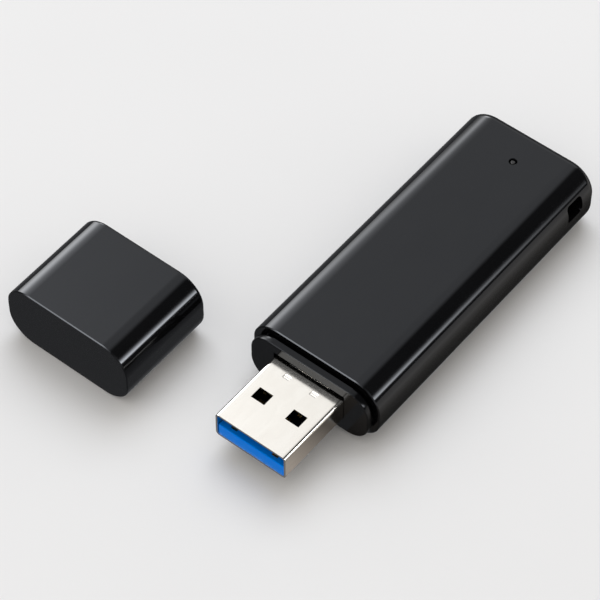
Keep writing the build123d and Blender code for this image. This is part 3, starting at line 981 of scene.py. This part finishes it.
class Room:
    """Node tree of the surroundings, with each direction's azimuth and elevation in degrees."""

    def __init__(self) -> None:
        self.world = bpy.data.worlds.new("room")
        self.world.use_nodes = True
        self.tree = self.world.node_tree
        self.tree.nodes.clear()
        direction = add(self.tree, "ShaderNodeTexCoord").outputs["Generated"]
        parts = add(self.tree, "ShaderNodeSeparateXYZ", None, None, {0: direction}).outputs
        self.aside, self.up = parts[0], parts[2]
        self.azimuth = self.maths("DEGREES", self.maths("ARCTAN2", parts[0], parts[1]), 0.0)
        self.elevation = self.maths("DEGREES", self.maths("ARCSINE", parts[2], 0.0), 0.0)

    def maths(self, operation: str, first: bpy.types.NodeSocket,
              second: bpy.types.NodeSocket | float) -> bpy.types.NodeSocket:
        """Returns an arithmetic node's value."""
        return arithmetic(self.tree, operation, first, second)

    def canopy(self, edge: float, radiance: float) -> bpy.types.NodeSocket:
        """Returns an even canopy over the left side that fades right of the zenith and near the floor.

        Args:
            edge: how far right of the zenith it ends, as a slope.
            radiance: brightness of its even part.
        """
        slope = self.maths("DIVIDE", self.aside, self.maths("MAXIMUM", self.up, LOWEST_UP))
        spread = self.softened(slope, edge, 0.0, radiance)
        return self.maths("MULTIPLY", spread, self.softened(self.elevation, *CANOPY_FOOT, 1.0))

    def softened(self, source: bpy.types.NodeSocket, low: float, high: float,
                 top: float) -> bpy.types.NodeSocket:
        """Rises smoothly from 0 at one value to the top at another."""
        return add(self.tree, "ShaderNodeMapRange", {"interpolation_type": "SMOOTHSTEP"},
                   {"From Min": low, "From Max": high, "To Min": 0.0, "To Max": top},
                   {"Value": source}).outputs["Result"]


# lights above the floor
SOFTBOXES = (
    # lifts the front faces a little
    Softbox("front_fill", place=(-0.5, -0.75, 1.1), size=(0.8, 0.8), radiance=0.5, colour="#ffffff"),
    # main light, high behind the left: soft shadows fall to the front right
    Softbox("back_key", place=(-0.42, 0.5, 1.05), size=(1.0, 1.0), radiance=2.75, colour="#f4f8ff"),
)

# lights on the walls, which only shiny surfaces show
GLOWS = (
    # core and halo of the broad light along the left shoulders
    Glow(azimuth=-64.0, elevation=17.0, width=4.3, above=11.5, below=11.5, radiance=5.4),
    Glow(azimuth=-68.0, elevation=45.0, width=12.8, above=16.5, below=16.5, radiance=2.2),
    # thin bright line along the right shoulders, which ends sharply below
    Glow(azimuth=65.0, elevation=17.2, width=4.2, above=7.0, below=1.8, radiance=15.0, tilt=0.9),
    # spot where the left shoulders meet the rear rounds
    Glow(azimuth=-45.0, elevation=20.0, width=6.0, above=6.0, below=6.0, radiance=7.0),
    # thin line along the broken front edges
    Glow(azimuth=-154.0, elevation=27.0, width=10.0, above=15.0, below=15.0, radiance=6.0),
    # sheen on the tops, seen from behind
    Glow(azimuth=128.0, elevation=32.0, width=16.0, above=20.0, below=20.0, radiance=1.6),
)


@dataclass(frozen=True)
class Studio:
    """Pale floor, soft lights, dim surroundings and the camera; places are in metres.

    Args:
        floor_size: side of the square floor.
        card_reach: how far the cards reach to the left and to the right.
        card_front_reach: how far they reach in front.
        card_back_reach: how far they reach behind.
        card_height: how far they lie above the floor.
        case_side: X where the left card ends and the right card starts, under the case.
        plug_side: X where the front card ends and the plug's card starts, under the plug.
        plug_card_end: X where the plug's card ends.
        collar: Y where the cards in front end and the others start, under the collar.
        ambient: brightness of the even light that matt surfaces get.
        ambient_colour: its tint.
        surround: brightness of the dim walls that shiny surfaces show.
        canopy_edge: how far right of the zenith the canopy ends, as a slope.
        canopy_radiance: brightness of the canopy.
        backdrop: colour behind the floor.
        azimuth: degrees that the camera stands to the right of the front.
        elevation: degrees that it looks down.
        distance: from the camera to its target.
        target: point that it looks at.
        lens: focal length in millimetres.
        sensor: width of its picture in millimetres.
    """

    floor_size: float = 6.0
    card_reach: float = 0.4
    card_front_reach: float = 0.3
    card_back_reach: float = 0.35
    card_height: float = 0.00002
    case_side: float = 0.0105
    plug_side: float = 0.0062
    plug_card_end: float = 0.03
    collar: float = -0.0262
    ambient: float = 0.69
    ambient_colour: str = "#fffaf4"
    surround: float = 0.07
    canopy_edge: float = 0.33
    canopy_radiance: float = 0.85
    backdrop: str = "#eae9e7"
    azimuth: float = 38.694
    elevation: float = 51.999
    distance: float = 0.39824
    target: tuple[float, float, float] = (-0.012861, -0.012545, 0.0)
    lens: float = 169.806
    sensor: float = 36.0

    def build(self, finishes: Finishes) -> None:
        """Builds the whole studio."""
        self.build_floor(finishes)
        self.build_cards(finishes)
        self.build_world()
        for softbox in SOFTBOXES:
            softbox.build()
        self.build_camera()
        bpy.context.scene.view_settings.view_transform = "Standard"

    def build_floor(self, finishes: Finishes) -> None:
        """Lays the floor."""
        bm = bmesh.new()
        bmesh.ops.create_grid(bm, x_segments=1, y_segments=1, size=self.floor_size / 2)
        floor = link_mesh("floor", bm)
        floor.data.materials.append(finishes.floor)

    def build_cards(self, finishes: Finishes) -> None:
        """Lays the cards round the object, which paint the floor's reflection."""
        behind, before = (self.collar, self.card_back_reach), (-self.card_front_reach, self.collar)
        self.build_card("card_left", (-self.card_reach, self.case_side), behind, finishes.card_dark)
        self.build_card("card_front", (-self.card_reach, self.plug_side), before, finishes.card_dark)
        self.build_card("card_plug", (self.plug_side, self.plug_card_end), before, finishes.card_warm)
        self.build_card("card_right", (self.case_side, self.card_reach), behind, finishes.card_faded)

    def build_card(self, name: str, x_span: tuple[float, float], y_span: tuple[float, float],
                   material: bpy.types.Material) -> None:
        """Lays a glowing card that only reflections show, a painted reflection of the floor.

        Args:
            name: its name.
            x_span: lowest and highest X.
            y_span: lowest and highest Y.
            material: its finish.
        """
        bm = bmesh.new()
        bmesh.ops.create_grid(bm, x_segments=1, y_segments=1, size=0.5)
        bmesh.ops.scale(bm, vec=(x_span[1] - x_span[0], y_span[1] - y_span[0], 1), verts=bm.verts)
        place = (sum(x_span) / 2, sum(y_span) / 2, self.card_height)
        bmesh.ops.translate(bm, vec=place, verts=bm.verts)
        card = link_mesh(name, bm)
        card.data.materials.append(material)
        for ray in ("camera", "diffuse", "transmission", "volume_scatter", "shadow"):
            setattr(card, "visible_" + ray, False)

    def build_world(self) -> None:
        """Lights the room evenly, shows the lights in reflections and a pale colour behind the object."""
        room = Room()
        light = room.canopy(self.canopy_edge, self.canopy_radiance)
        for glow in GLOWS:
            light = room.maths("ADD", light, glow.build(room))
        path = add(room.tree, "ShaderNodeLightPath").outputs
        strength = add(room.tree, "ShaderNodeMix", {"data_type": "FLOAT"}, {2: self.ambient},
                       {0: path["Is Glossy Ray"], 3: room.maths("ADD", light, self.surround)}).outputs[0]
        tint = add(room.tree, "ShaderNodeMix", {"data_type": "RGBA"},
                   {6: linear(self.ambient_colour), 7: linear("#ffffff")},
                   {0: path["Is Glossy Ray"]}).outputs[2]
        lit = add(room.tree, "ShaderNodeBackground", None, None, {"Color": tint, "Strength": strength})
        pale = add(room.tree, "ShaderNodeBackground", None,
                   {"Color": linear(self.backdrop), "Strength": 1.0})
        shown = add(room.tree, "ShaderNodeMixShader", None, None,
                    {0: path["Is Camera Ray"], 1: lit.outputs[0], 2: pale.outputs[0]})
        add(room.tree, "ShaderNodeOutputWorld", None, None, {"Surface": shown.outputs[0]})
        bpy.context.scene.world = room.world

    def build_camera(self) -> None:
        """Places the camera at the front right, well above the drive."""
        data = bpy.data.cameras.new("camera")
        data.sensor_width, data.lens = self.sensor, self.lens
        data.clip_start, data.clip_end = 0.01, 20
        camera = bpy.data.objects.new("camera", data)
        turn, rise = math.radians(self.azimuth), math.radians(self.elevation)
        back = Vector((math.sin(turn) * math.cos(rise), -math.cos(turn) * math.cos(rise), math.sin(rise)))
        camera.location = Vector(self.target) + back * self.distance
        camera.rotation_euler = (-back).to_track_quat("-Z", "Y").to_euler()
        bpy.context.scene.collection.objects.link(camera)
        bpy.context.scene.camera = camera


def finish_inner_pieces(nodes: dict[str, bpy.types.Object], finishes: Finishes) -> None:
    """Gives the CAD pieces that are shown as they are their finishes."""
    plain: dict[str, bpy.types.Material] = {
        "board_cover": finishes.cover, "contact_spacer": finishes.spacer,
        "circuit_board": finishes.board, "controller_chip": finishes.resin,
        "memory_chip": finishes.resin, "regulator": finishes.resin, "crystal": finishes.can,
        "indicator_led": finishes.led, "capacitors": finishes.capacitor, "resistors": finishes.resistor,
    }
    metal = ("contact_power", "contact_data", "contact_ground", "signal_")
    for node, piece in nodes.items():
        material = finishes.gold if node.startswith(metal) else plain.get(node)
        if material is not None:
            piece.data.materials.clear()
            piece.data.materials.append(material)
            log.info("%s finished", node)


def main() -> None:
    """Builds the pieces in order, then the studio."""
    logging.basicConfig(level=logging.INFO, format="%(message)s")
    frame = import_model()
    nodes = frame["nodes"]
    finishes = Finishes()
    Case().build(finishes)
    Cap().build(finishes)
    CadCopy("inner_frame", "frame_and_collar", "frame_plastic", edge_break=0.1).build(nodes, finishes.frame)
    CadCopy("plug_shell", "plug", "shell_steel", edge_break=0.0).build(nodes, finishes.shell)
    CadCopy("contact_tongue", "tongue", "tongue_plastic", edge_break=0.03).build(nodes, finishes.tongue)
    CadCopy("light_pipe", "light_lens", "light_pipe_plastic", edge_break=0.0).build(nodes, finishes.pipe)
    finish_inner_pieces(nodes, finishes)
    Studio().build(finishes)


if __name__ == "__main__":
    main()
